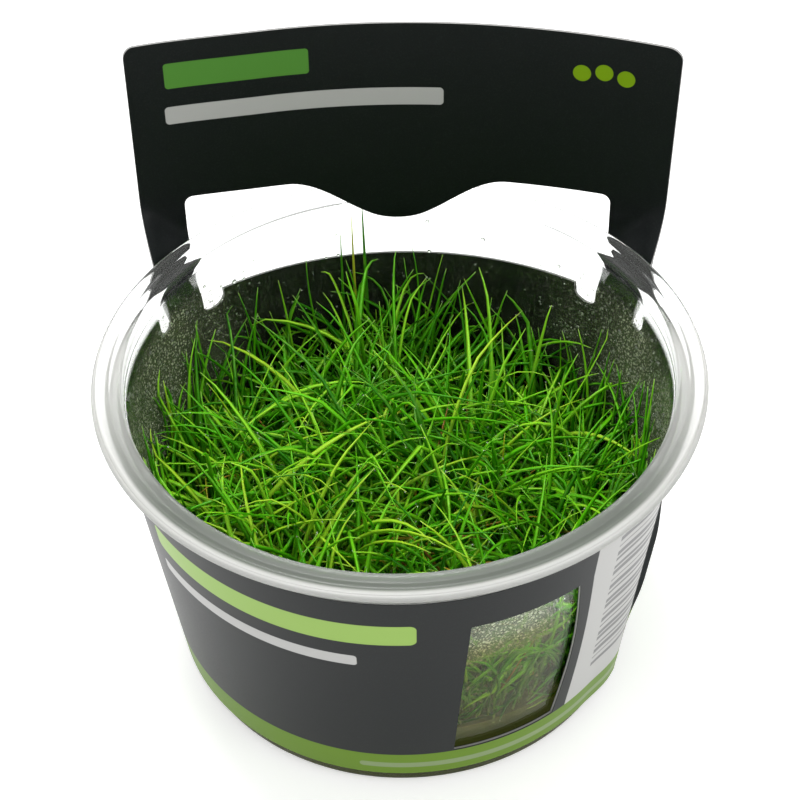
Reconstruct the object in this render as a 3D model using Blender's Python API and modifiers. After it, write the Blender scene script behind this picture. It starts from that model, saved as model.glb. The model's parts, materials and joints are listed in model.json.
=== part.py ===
"""Dwarf hairgrass grown in a small clear cup, with nutrient gel and a wrapped card sleeve.

Four pieces stand on one spot: the moulded cup, the gel in its bottom, the turf of hairgrass
on the gel, and the die-cut card that wraps the cup and rises behind it as a header panel.
Lengths are metres, +Z is up, and the origin is at the centre of the cup's flat foot.
The card's header stands at +Y, and the wrap's cut-out window faces -Y.
"""
import math
import random

import bmesh
import bpy
import numpy as np
from mathutils import Matrix, Vector

MM = 0.001

# Cup
CUP_HEIGHT = 50.2 * MM
RIM_R = 42.5 * MM
FOOT_R = 33.12 * MM           # outer radius that the wall's line reaches at z = 0
WALL_SLOPE = 0.12             # radius gained for each unit of height
WALL = 0.65 * MM
FLOOR = 0.9 * MM
FLANGE_UNDERSIDE = 48.65 * MM
TURN_STEPS = 56

# Fit between neighbouring pieces
GAP = 0.3 * MM

# Nutrient gel
GEL_TOP = 10.9 * MM
GEL_CREEP = 0.7 * MM          # its edge is drawn up the wall by this

# Card
CARD = 0.45 * MM
CARD_FOOT = 3.0 * MM
WRAP_TOP = 45.2 * MM
REF_R = 36.5 * MM             # radius at which angles round the cup become flat lengths
NEAR_END = math.radians(-254.0)   # upper end of the wrap, at the right-hand seam
FAR_END = math.radians(110.0)     # end tucked under it
CUT_OUT = (math.radians(-217.6), math.radians(-193.1))
CUT_OUT_FOOT = 8.4 * MM
CUT_OUT_TOP = 38.5 * MM
LEG_OUTER = math.radians(62.1)
LEG_INNER = math.radians(50.4)
RELIEF_OUTER = math.radians(66.3)
RELIEF_INNER = math.radians(43.9)
RELIEF_FOOT = 39.1 * MM
SIDE_RELIEF_FOOT = 41.7 * MM
BACK_TOP_SIDE = 41.3 * MM
BACK_TOP_MIDDLE = 39.2 * MM
HEADER_TOP = 81.3 * MM
HEADER_CORNER = 1.8 * MM
WINDOW_TOP = 55.2 * MM
WINDOW_CORNER = 1.4 * MM
BUMP_FOOT = 47.9 * MM
BUMP_HALF = 16.5 * MM
WINDOW_OFFSET = -0.6 * MM     # the header's window is cut a little left of the middle
HEADER_OFFSET = 0.4 * MM      # and its two upper corners a little right of it

# Header panel, a shallow arc standing across the back of the cup
PANEL_R = 102.0 * MM
PANEL_Y = 36.0 * MM           # depth of the panel's middle at rim height
PANEL_LEAN = 0.04
RIM_LEVEL = 50.0 * MM
RIM_CLEAR_R = 43.1 * MM       # the legs pass outside the rim at this radius
RIM_PASSED = (50.4 * MM, 53.5 * MM)   # over these heights they are free of it again
LEG_SHARE = 0.9               # share of LEG_INNER from which the card counts as a leg
LEG_BEND = 42.5 * MM          # height at which the legs leave the cup's wall
PANEL_START = (49.1 * MM, 56.0 * MM)  # height where a leg's inner and outer edge join the panel

# Seam at the right-hand side, where one end laps the other and the tucked end stands off
SEAM_LIFT = CARD + 0.12 * MM
SEAM_RAMP = (math.radians(-249), math.radians(-237))
BULGE = 1.35 * MM
BULGE_RISE = (math.radians(68), math.radians(92))
BULGE_FALL = (math.radians(100.5), math.radians(105.3))
BULGE_FOOT = (2.0 * MM, 13.5 * MM)
BULGE_HEAD = (21.5 * MM, 34.5 * MM)

# Lines along which the blank bends: round the cup, across the header and where it stands off
SCORE_STEP = math.radians(5)
HEADER_SCORES = (43.0, 44.5, 46.1, 48.1, 50.5, 53.5, 57.0, 61.5)
LOOSE_SCORES = (5.5, 9.5, 13.5, 19.5, 25.5, 30.5, 34.5)
LOOSE_REACH = (math.radians(65), math.radians(107))

# Turf: a mat of crowns, and the locks of blades that rise from it
TURF_TOP = 25.5 * MM
TURF_STEPS = 28
TURF_SHOULDER = 2.2 * MM      # the turf's top edge stands this far in from the cup's wall
TURF_SAG = 2.6 * MM           # and this far below its middle
TURF_FOOT_ROUND = (1.2 * MM, 2.0 * MM)  # the turf's lower edge is drawn in and cut off by this
LOCKS = 66
LOCK_R = 2.4 * MM
LOCK_TIP = 0.12               # share of LOCK_R that is left at the tip
LOCK_SIDES = 5
LOCK_STEPS = 4
LOCK_FOOT = 14.5 * MM
LOCK_SPREAD = 30.5 * MM       # the outermost locks stand this far from the axis
LOCK_RISE = 27.0 * MM         # full rise of a lock in the middle
LOCK_UNEVEN = (0.76, 1.0)     # share of that rise that each lock reaches
LOCK_LEAN = (0.2, 0.7)        # how far its tip leans over, as a share of its rise
LOCK_BOW = (1.8, 0.9)         # powers that bend it: sideways late, upward early
EDGE_DROP = 6.0 * MM          # and how much less it is at the edge
BACK_FROM = 17.0 * MM         # behind this depth the locks stand taller against the wall
BACK_RISE = 7.0 * MM
BACK_UNEVEN = (0.2, 1.0)
WALL_CLEAR = 1.2 * MM
GOLDEN_ANGLE = math.pi * (3 - math.sqrt(5))


def clear_scene():
    for thing in list(bpy.data.objects):
        bpy.data.objects.remove(thing, do_unlink=True)


def new_collection(name):
    group = bpy.data.collections.new(name)
    bpy.context.scene.collection.children.link(group)
    return group


def finish(name, colour, roughness, transmission=0.0):
    """One Principled material; a clear one lets light through."""
    material = bpy.data.materials.new(name)
    material.use_nodes = True
    shader = material.node_tree.nodes["Principled BSDF"]
    shader.inputs["Base Color"].default_value = (*colour, 1.0)
    shader.inputs["Roughness"].default_value = roughness
    shader.inputs["Metallic"].default_value = 0.0
    shader.inputs["Transmission Weight"].default_value = transmission
    material.diffuse_color = (*colour, 1.0)
    return material


def smooth(value, low, high):
    """0 below low, 1 above high, and an even S between them."""
    t = min(1.0, max(0.0, (value - low) / (high - low)))
    return t * t * (3 - 2 * t)


def arc(centre, radius, start, end, count):
    """Points on an arc, angles in degrees, both ends included."""
    angles = np.radians(np.linspace(start, end, count))
    return [(centre[0] + radius * math.cos(a), centre[1] + radius * math.sin(a)) for a in angles]


def cup_outside(height):
    return FOOT_R + WALL_SLOPE * height


def cup_inside(height):
    return cup_outside(height) - WALL


def turned(name, profile, group, material):
    """Screw a profile of (radius, height) points that starts and ends on the axis."""
    mesh = bpy.data.meshes.new(name)
    points = [(radius, 0.0, height) for radius, height in profile]
    mesh.from_pydata(points, [(i, i + 1) for i in range(len(points) - 1)], [])
    mesh.materials.append(material)
    thing = bpy.data.objects.new(name, mesh)
    group.objects.link(thing)
    screw = thing.modifiers.new("Turn", "SCREW")
    screw.axis = "Z"
    screw.angle = math.tau
    screw.steps = TURN_STEPS
    screw.render_steps = TURN_STEPS
    screw.use_merge_vertices = True
    screw.merge_threshold = 0.00001
    screw.use_smooth_shade = True
    return thing


def make_cup(group):
    """A thin tapered cup: inside from the floor up, over the rolled rim, and down outside."""
    fillet = 1.8 * MM
    foot = 0.8 * MM
    lip_foot = 48.2 * MM
    lip_r = 38.5 * MM
    lip_round = 0.6 * MM
    bead_round = 0.75 * MM
    inner_corner = (cup_inside(FLOOR + fillet) - fillet, FLOOR + fillet)
    outer_corner = (cup_outside(foot) - foot, foot)
    profile = [(0.0, FLOOR)]
    profile += arc(inner_corner, fillet, -90, 0, 4)
    profile += [(cup_inside(47.7 * MM), 47.7 * MM), (lip_r, lip_foot)]
    profile += arc((lip_r + lip_round, CUP_HEIGHT - lip_round), lip_round, 180, 90, 3)
    profile += [(40.1 * MM, CUP_HEIGHT), (40.7 * MM, CUP_HEIGHT - 0.35 * MM)]
    profile += arc((RIM_R - bead_round, CUP_HEIGHT - bead_round), bead_round, 100, 0, 4)
    profile += [(RIM_R - 0.35 * MM, FLANGE_UNDERSIDE), (39.9 * MM, FLANGE_UNDERSIDE + 0.1 * MM)]
    profile += [(cup_outside(47.8 * MM) + 0.05 * MM, 47.8 * MM)]
    profile += arc(outer_corner, foot, 0, -90, 4)
    profile += [(0.0, 0.0)]
    clear = finish("clear_plastic", (0.92, 0.95, 0.95), 0.08, transmission=0.95)
    return turned("cup", profile, group, clear)


def make_gel(group):
    """The set gel that fills the cup's bottom."""
    base = FLOOR + GAP
    fillet = 1.8 * MM
    edge = cup_inside(GEL_TOP) - GAP
    corner = (cup_inside(base + fillet) - GAP - fillet, base + fillet)
    profile = [(0.0, GEL_TOP), (edge - 4 * MM, GEL_TOP), (edge, GEL_TOP + GEL_CREEP)]
    profile += arc(corner, fillet, 0, -90, 3)
    profile += [(0.0, base)]
    gel = finish("nutrient_gel", (0.45, 0.50, 0.30), 0.12, transmission=0.6)
    return turned("gel", profile, group, gel)


def card_point(s, h):
    """Where the flat card's point (s along the wrap, h up) stands once it is wrapped."""
    angle = s / REF_R
    radius = cup_outside(h) + GAP + CARD / 2
    radius += SEAM_LIFT * (1 - smooth(angle, *SEAM_RAMP))
    round_bulge = smooth(angle, *BULGE_RISE) * (1 - smooth(angle, *BULGE_FALL))
    high_bulge = smooth(h, *BULGE_FOOT) * (1 - smooth(h, *BULGE_HEAD))
    radius += BULGE * round_bulge * high_bulge
    if abs(angle) > (LEG_OUTER + RELIEF_OUTER) / 2:
        return Vector((radius * math.sin(angle), radius * math.cos(angle), h))
    turn = s / PANEL_R
    panel_y = PANEL_Y + PANEL_LEAN * (h - RIM_LEVEL) - PANEL_R * (1 - math.cos(turn))
    inner = LEG_INNER * REF_R
    outward = smooth(abs(s), inner, LEG_OUTER * REF_R)
    settle = PANEL_START[0] + (PANEL_START[1] - PANEL_START[0]) * outward
    share = smooth(h, LEG_BEND, settle)
    x = (1 - share) * radius * math.sin(angle) + share * PANEL_R * math.sin(turn)
    y = (1 - share) * radius * math.cos(angle) + share * panel_y
    reach = math.hypot(x, y)
    if abs(s) > LEG_SHARE * inner and reach < RIM_CLEAR_R:
        beside_rim = smooth(h, LEG_BEND, FLANGE_UNDERSIDE) - smooth(h, *RIM_PASSED)
        push = 1 + (RIM_CLEAR_R / reach - 1) * beside_rim
        x, y = x * push, y * push
    return Vector((x, y, h))


def card_outline():
    """The die-cut edge of the flat card, anticlockwise, as (s, h) points."""
    leg = LEG_OUTER * REF_R
    relief = RELIEF_OUTER * REF_R
    corner = (leg - HEADER_CORNER, HEADER_TOP - HEADER_CORNER)
    right = [(relief, WRAP_TOP), (relief, SIDE_RELIEF_FOOT), (leg, SIDE_RELIEF_FOOT)]
    right += arc(corner, HEADER_CORNER, 0, 90, 5)
    left = [(-s, h) for s, h in reversed(right)]
    right, left = ([(s + HEADER_OFFSET * (h > WRAP_TOP), h) for s, h in side]
                   for side in (right, left))
    edge = [(NEAR_END * REF_R, CARD_FOOT), (FAR_END * REF_R, CARD_FOOT)]
    edge += [(FAR_END * REF_R, WRAP_TOP)]
    return edge + right + left + [(NEAR_END * REF_R, WRAP_TOP)]


def header_window():
    """The hole between the legs: relief notches, the sagging back edge and the bump above."""
    inner = LEG_INNER * REF_R
    relief = RELIEF_INNER * REF_R
    sag = BACK_TOP_SIDE - BACK_TOP_MIDDLE
    corner = (inner - WINDOW_CORNER, WINDOW_TOP - WINDOW_CORNER)
    back_edge = [(u * relief, BACK_TOP_MIDDLE + sag * u * u) for u in np.linspace(0, 1, 5)]
    bump = []
    for u in np.linspace(0, 1, 7):
        depth = (WINDOW_TOP - BUMP_FOOT) * 0.5 * (1 + math.cos(math.pi * u))
        bump.append((u * BUMP_HALF, WINDOW_TOP - depth))
    right = back_edge + [(relief, RELIEF_FOOT), (inner, RELIEF_FOOT)]
    right += arc(corner, WINDOW_CORNER, 0, 90, 4) + bump[::-1]
    left = [(-s, h) for s, h in reversed(right[1:-1])]
    return [(s + WINDOW_OFFSET, h) for s, h in right + left]


def cut_out():
    low, high = (angle * REF_R for angle in CUT_OUT)
    return [(low, CUT_OUT_FOOT), (high, CUT_OUT_FOOT), (high, CUT_OUT_TOP), (low, CUT_OUT_TOP)]


def flat_card():
    """The blank as a filled 2D curve with its holes, made a welded mesh."""
    curve = bpy.data.curves.new("card_blank", "CURVE")
    curve.dimensions = "2D"
    curve.fill_mode = "BOTH"
    curve.extrude = CARD / 2
    for outline in (card_outline(), header_window(), cut_out()):
        spline = curve.splines.new("POLY")
        spline.points.add(len(outline) - 1)
        for point, (s, h) in zip(spline.points, outline):
            point.co = (s, h, 0.0, 1.0)
        spline.use_cyclic_u = True
    blank = bpy.data.objects.new("card_blank", curve)
    bpy.context.scene.collection.objects.link(blank)
    evaluated = blank.evaluated_get(bpy.context.evaluated_depsgraph_get())
    mesh = bpy.data.meshes.new_from_object(evaluated)
    bpy.data.objects.remove(blank, do_unlink=True)
    card = bmesh.new()
    card.from_mesh(mesh)
    bpy.data.meshes.remove(mesh)
    bmesh.ops.remove_doubles(card, verts=card.verts, dist=0.00001)
    return card


def score(card, origin, normal, low, high):
    """Cut the blank along a line, in the stretch of s from low to high."""
    faces = [f for f in card.faces if low < f.calc_center_bounds().x < high]
    edges = {e for f in faces for e in f.edges}
    verts = {v for f in faces for v in f.verts}
    bmesh.ops.bisect_plane(card, geom=[*verts, *edges, *faces], dist=0.000001,
                           plane_co=origin, plane_no=normal)


def make_card(group):
    """Score the blank so that it can bend, then wrap it round the cup."""
    card = flat_card()
    everywhere = (-1.0, 1.0)
    first = math.ceil(NEAR_END / SCORE_STEP)
    last = math.floor(FAR_END / SCORE_STEP)
    for i in range(first, last + 1):
        score(card, (i * SCORE_STEP * REF_R, 0, 0), (1, 0, 0), *everywhere)
    header = (-LEG_OUTER * REF_R, LEG_OUTER * REF_R)
    for h in HEADER_SCORES:
        score(card, (0, h * MM, 0), (0, 1, 0), *header)
    loose = (LOOSE_REACH[0] * REF_R, LOOSE_REACH[1] * REF_R)
    for h in LOOSE_SCORES:
        score(card, (0, h * MM, 0), (0, 1, 0), *loose)
    bmesh.ops.triangulate(card, faces=card.faces)
    tiny = 0.01 * MM
    for vert in card.verts:
        s, h, lift = vert.co
        along = card_point(s + tiny, h) - card_point(s - tiny, h)
        upward = card_point(s, h + tiny) - card_point(s, h - tiny)
        vert.co = card_point(s, h) + along.cross(upward).normalized() * lift
    mesh = bpy.data.meshes.new("card_sleeve")
    card.to_mesh(mesh)
    card.free()
    mesh.materials.append(finish("printed_card", (0.02, 0.025, 0.028), 0.45))
    sleeve = bpy.data.objects.new("card_sleeve", mesh)
    group.objects.link(sleeve)
    return sleeve


def lock(index, draw, cutters):
    """One tapering lock of blades: a cone bent over along its length, from turf to tip."""
    spread = math.sqrt((index + 0.5) / LOCKS)
    bearing = index * GOLDEN_ANGLE
    base = Vector((math.cos(bearing), math.sin(bearing), 0)) * spread * LOCK_SPREAD
    base.z = LOCK_FOOT
    rise = (LOCK_RISE - EDGE_DROP * spread ** 2) * draw.uniform(*LOCK_UNEVEN)
    if base.y > BACK_FROM:
        rise += BACK_RISE * draw.uniform(*BACK_UNEVEN)
    lean = draw.uniform(*LOCK_LEAN) * rise
    heading = draw.uniform(0, math.tau)
    toward = Vector((math.cos(heading), math.sin(heading), 0)) * lean
    tip = base + toward + Vector((0, 0, rise))
    limit = cup_inside(tip.z) - WALL_CLEAR
    reach = math.hypot(tip.x, tip.y)
    if reach > limit:
        tip.x *= limit / reach
        tip.y *= limit / reach
    thing = bmesh.new()
    bmesh.ops.create_cone(thing, cap_ends=True, segments=LOCK_SIDES, radius1=LOCK_R,
                          radius2=LOCK_R * LOCK_TIP, depth=1.0,
                          matrix=Matrix.Translation((0, 0, 0.5)))
    for i in range(1, LOCK_STEPS):
        bmesh.ops.bisect_plane(thing, geom=[*thing.verts, *thing.edges, *thing.faces],
                               dist=0.000001, plane_co=(0, 0, i / LOCK_STEPS),
                               plane_no=(0, 0, 1))
    path = tip - base
    for vert in thing.verts:
        t = vert.co.z
        over = Vector((path.x, path.y, 0)) * t ** LOCK_BOW[0]
        vert.co = base + over + Vector((vert.co.x, vert.co.y, path.z * t ** LOCK_BOW[1]))
    bmesh.ops.triangulate(thing, faces=thing.faces)
    bmesh.ops.recalc_face_normals(thing, faces=thing.faces)
    mesh = bpy.data.meshes.new(f"lock_{index:02d}")
    thing.to_mesh(mesh)
    thing.free()
    guide = bpy.data.objects.new(mesh.name, mesh)
    guide.hide_render = True
    guide.display_type = "WIRE"
    cutters.objects.link(guide)


def make_turf(group, cutters):
    """The mat of crowns on the gel, with the locks of blades fused into it."""
    base = GEL_TOP + GEL_CREEP + GAP
    edge = cup_inside(base) - GAP
    shoulder = cup_inside(TURF_TOP) - GAP - TURF_SHOULDER
    drawn_in, cut_off = TURF_FOOT_ROUND
    profile = [(0.0, TURF_TOP), (shoulder / 2, TURF_TOP - TURF_SAG / 4),
               (shoulder, TURF_TOP - TURF_SAG), (edge - drawn_in / 3, base + cut_off),
               (edge - drawn_in, base), (0.0, base)]
    leaf = finish("hairgrass_green", (0.13, 0.36, 0.03), 0.4)
    turf = turned("hairgrass", profile, group, leaf)
    turf.modifiers["Turn"].steps = TURF_STEPS
    turf.modifiers["Turn"].render_steps = TURF_STEPS
    draw = random.Random(7)
    for index in range(LOCKS):
        lock(index, draw, cutters)
    fuse = turf.modifiers.new("Locks", "BOOLEAN")
    fuse.operation = "UNION"
    fuse.operand_type = "COLLECTION"
    fuse.collection = cutters
    fuse.solver = "EXACT"
    return turf


def main():
    clear_scene()
    group = new_collection("potted_hairgrass")
    cutters = new_collection("locks_of_blades")
    make_cup(group)
    make_gel(group)
    make_card(group)
    make_turf(group, cutters)


main()
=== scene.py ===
"""Dwarf hairgrass in its clear culture cup, dressed round its solid frame.

The file is laid out as a Blender add-on and is run as a script. It loads the frame, makes
each piece with an operator of its own, and sets up a lit stage with a camera. Lengths are
metres, +Z is up, the cup stands on the origin, and the card's header stands at +Y.
"""
import json
import math

import bpy
import numpy as np
from bpy.props import FloatProperty, FloatVectorProperty, IntProperty, PointerProperty
from mathutils import Matrix, Vector

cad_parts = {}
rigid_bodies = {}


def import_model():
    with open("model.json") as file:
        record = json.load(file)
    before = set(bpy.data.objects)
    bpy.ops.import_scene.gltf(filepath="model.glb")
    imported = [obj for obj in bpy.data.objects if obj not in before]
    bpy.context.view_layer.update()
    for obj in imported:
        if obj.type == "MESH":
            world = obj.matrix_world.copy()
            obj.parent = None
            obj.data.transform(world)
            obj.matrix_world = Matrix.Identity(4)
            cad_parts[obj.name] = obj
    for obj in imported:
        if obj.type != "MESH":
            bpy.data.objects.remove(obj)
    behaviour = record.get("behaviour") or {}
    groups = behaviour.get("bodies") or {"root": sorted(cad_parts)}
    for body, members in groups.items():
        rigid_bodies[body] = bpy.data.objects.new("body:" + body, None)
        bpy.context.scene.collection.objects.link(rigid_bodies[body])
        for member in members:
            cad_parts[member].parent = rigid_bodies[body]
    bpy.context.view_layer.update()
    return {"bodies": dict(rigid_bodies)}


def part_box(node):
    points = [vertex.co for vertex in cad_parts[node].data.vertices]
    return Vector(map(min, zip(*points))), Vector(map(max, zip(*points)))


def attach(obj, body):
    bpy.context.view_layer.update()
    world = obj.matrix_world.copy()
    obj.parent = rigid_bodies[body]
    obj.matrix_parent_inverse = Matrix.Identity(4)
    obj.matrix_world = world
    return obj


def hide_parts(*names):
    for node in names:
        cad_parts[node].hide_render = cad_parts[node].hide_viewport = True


bl_info = {
    "name": "Potted Hairgrass",
    "version": (1, 0, 0),
    "blender": (4, 5, 0),
    "location": "View3D > Sidebar > Hairgrass",
    "description": "Makes a clear culture cup of dwarf hairgrass with its card sleeve",
    "category": "Add Mesh",
}

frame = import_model()
(BODY,) = frame["bodies"]     # one body holds all the pieces

MM = 0.001

# Cup
CUP_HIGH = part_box("cup")[1]
CUP_HEIGHT = CUP_HIGH.z
RIM_R = CUP_HIGH.x
FOOT_R = 33.12 * MM           # outer radius that the wall's line reaches at z = 0
WALL_SLOPE = 0.12
WALL = 0.65 * MM
FLOOR = 0.9 * MM
FILLET = 1.8 * MM             # where the floor meets the wall
FOOT_ROUND = 0.8 * MM
LEDGE = 47.7 * MM             # the wall steps out here to the mouth
MOUTH_R = 38.1 * MM
MOUTH_FOOT = 48.2 * MM
LIP = 0.6 * MM
BEAD = 0.75 * MM
FLANGE_TOP = ((39.9, 0.0), (40.15, -0.06), (40.4, -0.3), (40.8, -0.36))   # mm: r, z over the top
FLANGE_UNDERSIDE = 48.65 * MM
UNDER_BEAD = ((-0.08, 0.55), (-0.4, 0.25))        # mm: r past the rim's, z over the underside
UNDER_FLANGE = ((39.9, 0.2), (39.5, 0.05))        # mm: r, z over the underside
GAP = 0.3 * MM                # round the gel and under the card

# Where its finish changes, and where its painted highlight and shade lie, from and to: millimetres
# out from the axis, and up
SEAL_RING = (37.9, 38.1)
SEAL_LEVEL = (48.4, 49.1)
# BEAD_RING and BEAD_LEVEL bound the painted highlight on the bead, brightest along its top
BEAD_RING = (40.9, 41.3)
BEAD_LEVEL = (49.1, 49.9)
SMEAR_TOP = (29, 35)
WET_FOOT = (0.0, 0.4)
WET_TOP = (LEDGE / MM - 1, LEDGE / MM)

# Gel
GEL_CREEP = 0.7 * MM
GEL_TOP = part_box("gel")[1].z - GEL_CREEP
GEL_RIPPLE = 0.12 * MM
GEL_CALM = (28, 31)           # mm from the axis over which its ripples die away

# Card
CARD = 0.45 * MM
REF_R = 36.5 * MM             # radius at which angles round the cup become flat lengths


def flat(angle):
    """Length along the flat card of an angle in degrees round the cup, from the back."""
    return math.radians(angle) * REF_R


CARD_FOOT = 3.15 * MM
PRINT_DATUM = 1.5 * MM        # level from which the print's heights count
WRAP_TOP = 45.2 * MM
NEAR_END = flat(-243.5)
FAR_END = flat(119.0)
CUT_OUT = (flat(-217.6), flat(-193.1))
CUT_OUT_FOOT = 8.4 * MM
CUT_OUT_TOP = 38.5 * MM
CUT_OUT_RIGHT = (0.0, -0.5 * MM)        # its edges' shift at the foot and at the top
CUT_OUT_LEFT = (0.65 * MM, -0.75 * MM)
CUT_OUT_BOW = -1.35 * MM                # and the right edge's own, half way up
CUT_OUT_FADE = 5.5 * MM
LEG_OUTER = flat(62.1)
LEG_INNER = flat(50.4)
RELIEF_OUTER = flat(66.3)
RELIEF_INNER = flat(43.9)
RELIEF_FEET = (39.1 * MM, 41.7 * MM)    # inside and outside the legs
NOTCH_ROUND = 1.3 * MM
BACK_TOP = (39.2 * MM, 41.3 * MM)       # in the middle and beside the legs
HEADER_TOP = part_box("card_sleeve")[1].z + 0.2 * MM
HEADER_CORNER = 1.8 * MM
HEADER_OFFSET = 0.6 * MM
HEADER_FLARE = 0.4 * MM
WINDOW_TOP = 55.2 * MM
WINDOW_CORNER = 1.4 * MM
WINDOW_OFFSET = -0.6 * MM
BUMP_FOOT = 47.9 * MM
BUMP_HALF = 16.5 * MM
PANEL_R = 102.0 * MM
PANEL_Y = 36.0 * MM
PANEL_LEAN = 0.04
PANEL_EASE = (1.6 * MM, 0.3 * MM)       # how far its left and right ends lie back
PANEL_END = (20 * MM, 44 * MM)
PANEL_START = (49.1 * MM, 56.0 * MM)
RIM_LEVEL = 50.0 * MM
RIM_CLEAR_R = 43.1 * MM
RIM_PASSED = (50.4 * MM, 53.5 * MM)
LEG_SHARE = 0.9
LEG_BEND = 42.5 * MM
SEAM_LIFT = CARD + 0.12 * MM
SEAM_RAMP = (flat(-241.0), flat(-230.0))
BULGE = 0.95 * MM
BULGE_RISE = (flat(68), flat(92))
BULGE_FALL = (flat(100.5), flat(105.3))
BULGE_FOOT = (2.0 * MM, 13.5 * MM)
BULGE_HEAD = (21.5 * MM, 34.5 * MM)
CARD_STEP = flat(1.25)
CARD_BANDS = (5, 20, 5, 14, 20)         # rows of quads from each cut line to the next
GREEN_TOP = 6.7                         # mm over the print's datum
PRINT_BLUR = 0.06                       # mm to each side of a print's edge
WHITE_BLUR = 0.08
FLAP = (flat(84) / MM, flat(90) / MM)   # mm along it where the tucked end turns dull

# Grass
GOLDEN_ANGLE = math.pi * (3 - math.sqrt(5))
BLADE_SIDES = 3
BLADE_FLATNESS = 0.72
CLUMPS = ((-6, 22, 8, 0.22), (-30, 2, 9, 0.16), (-14, -14, 8, 0.10), (14, -2, 6, 0.08),
          (5, -13, 9, -0.46), (12, 27, 9, -0.16))  # x, y and width in mm, and added growth
LIT_SIDE = (-18, -11, 13)               # x, y and width in mm
TURF_R = 33 * MM
TURF_TOP = 38 * MM
PRESSED_DOWN = 0.7                      # share of its height over the top that a blade loses
WALL_LOSS = 0.22                        # share of their length that blades lose at the wall
ARCHING = 0.12                          # share of the tall blades that arch far over
WALL_R = 36 * MM                        # radius at which steps round the wall become angles
LONG_BLADES = np.array([(102.5, 33.4, 0.01, 0.81), (99.3, 36.1, 0.0, 0.05),
                        (106.3, 30.4, 0.03, 0.1)])  # bearing, length in mm, tilt and tone
WITHERING = ((0.80, (0.50, 0.58, 0.03)), (0.88, (0.70, 0.42, 0.04)),
             (0.94, (0.36, 0.17, 0.03)), (1.0, (0.10, 0.05, 0.02)))   # by tone

# Fog on the wall: degrees from the back, and millimetres up
FOG_SIDES = (30, 72)
FOG_FRONT = (105, 135)
FOG_STRIP = ((122, 136), (144.5, 149))  # the clear strip begins and ends
FOG_FADE = (43, 46)
FOG_FOOT = 17.5
VEIL_FOOT = 15.5 * MM
VEIL_R = (0.04 * MM, 0.07 * MM)         # its two sides, in from the wall

# Stage, and the camera as the photograph was taken
FLOOR_HALF = 0.9
FLOOR_DROP = 0.02 * MM
KEY_BOX = ((-0.06, 0.10, 0.55), 0.22)   # place and width
FILL_BOX = ((0.45, -0.30, 0.35), 0.25)
CAMERA_PLACE = (5.3 * MM, -204.07 * MM, 236.23 * MM)
CAMERA_YAW = -0.02593
CAMERA_PITCH = 0.75656
CAMERA_ROLL = -0.02331
CAMERA_LENS = 90.0
CAMERA_SENSOR = 36.0


# Numbers and shapes

def smooth(value, low, high):
    """0 below low, 1 above high, and an even S, 3 t squared minus 2 t cubed, between them."""
    t = np.clip((value - low) / (high - low), 0.0, 1.0)
    return t * t * (3 - 2 * t)


def hump(value, rise, fall):
    """1 between a rise and a fall, each given by where it starts and ends, and 0 outside."""
    return smooth(value, *rise) * (1 - smooth(value, *fall))


def mix(pair, share):
    """The first of a pair where share is 0, the second where it is 1."""
    return pair[0] * (1 - share) + pair[1] * share


def unit(vectors):
    """Each vector divided by its own length."""
    return vectors / np.maximum(np.linalg.norm(vectors, axis=-1, keepdims=True), 1e-12)


def cup_outside(height):
    return FOOT_R + WALL_SLOPE * height


def cup_inside(height):
    return cup_outside(height) - WALL


def arc(centre_r, centre_z, radius, start, end, count):
    """Points on a circle round a centre, from one angle to another in degrees."""
    angles = np.radians(np.linspace(start, end, count))
    return np.column_stack([centre_r + radius * np.cos(angles), centre_z + radius * np.sin(angles)])


def straight(start, end, count):
    """Points evenly spaced on the way from start to end, both included."""
    return mix((np.array(start), np.array(end)), np.linspace(0, 1, count)[:, None])


def ring_quads(bands, around):
    """Quads of the bands between closed rings of points, each corner as its point's number."""
    ring, spoke = np.meshgrid(np.arange(bands), np.arange(around), indexing="ij")
    here, beside = ring * around + spoke, ring * around + (spoke + 1) % around
    return np.stack([here, here + around, beside + around, beside], axis=-1).reshape(-1, 4)


def lathe(profile, around):
    """A profile of (r, h) carried round Z: (r cos a, r sin a, h), with a pole at each end."""
    angles = np.arange(around) * (math.tau / around)
    middle = profile[1:-1]
    rings = np.stack([np.outer(middle[:, 0], np.cos(angles)),
                      np.outer(middle[:, 0], np.sin(angles)),
                      np.repeat(middle[:, 1:], around, axis=1)], axis=-1)
    bottom, top = ([[0.0, 0.0, profile[end, 1]]] for end in (0, -1))
    points = np.concatenate([bottom, rings.reshape(-1, 3), top])
    first = 1 + np.arange(around)
    last = first + (len(middle) - 1) * around
    start = np.column_stack([np.zeros(around, int), first, np.roll(first, -1)])
    end = np.column_stack([np.full(around, len(points) - 1), np.roll(last, -1), last])
    return points, [1 + ring_quads(len(middle) - 1, around), start, end]


def add_object(name, data):
    thing = bpy.data.objects.new(name, data)
    bpy.context.scene.collection.objects.link(thing)
    return thing


def make_mesh(name, points, faces, sharp=None, **values):
    """Put arrays into a mesh object: points, blocks of faces, and values for each point."""
    mesh = bpy.data.meshes.new(name)
    corners = np.concatenate([block.ravel() for block in faces])
    sizes = np.concatenate([np.full(len(block), block.shape[1]) for block in faces])
    starts = np.cumsum(sizes) - sizes
    mesh.vertices.add(len(points))
    mesh.vertices.foreach_set("co", points.astype(np.float32).ravel())
    mesh.loops.add(len(corners))
    mesh.loops.foreach_set("vertex_index", corners.astype(np.int32))
    mesh.polygons.add(len(sizes))
    mesh.polygons.foreach_set("loop_start", starts.astype(np.int32))
    mesh.update(calc_edges=True)
    for key, array in values.items():
        attribute = mesh.attributes.new(key, "FLOAT", "POINT")
        attribute.data.foreach_set("value", array.astype(np.float32).ravel())
    mesh.shade_smooth()
    if sharp is not None:
        mesh.set_sharp_from_angle(angle=math.radians(sharp))
    return add_object(name, mesh)


def place(thing, slot, material, *nodes):
    """The finished piece rides on the body and stands for the nodes. Its slot is not used."""
    thing.data.materials.append(material)
    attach(thing, BODY)
    if nodes:
        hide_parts(*nodes)


# Materials

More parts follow.
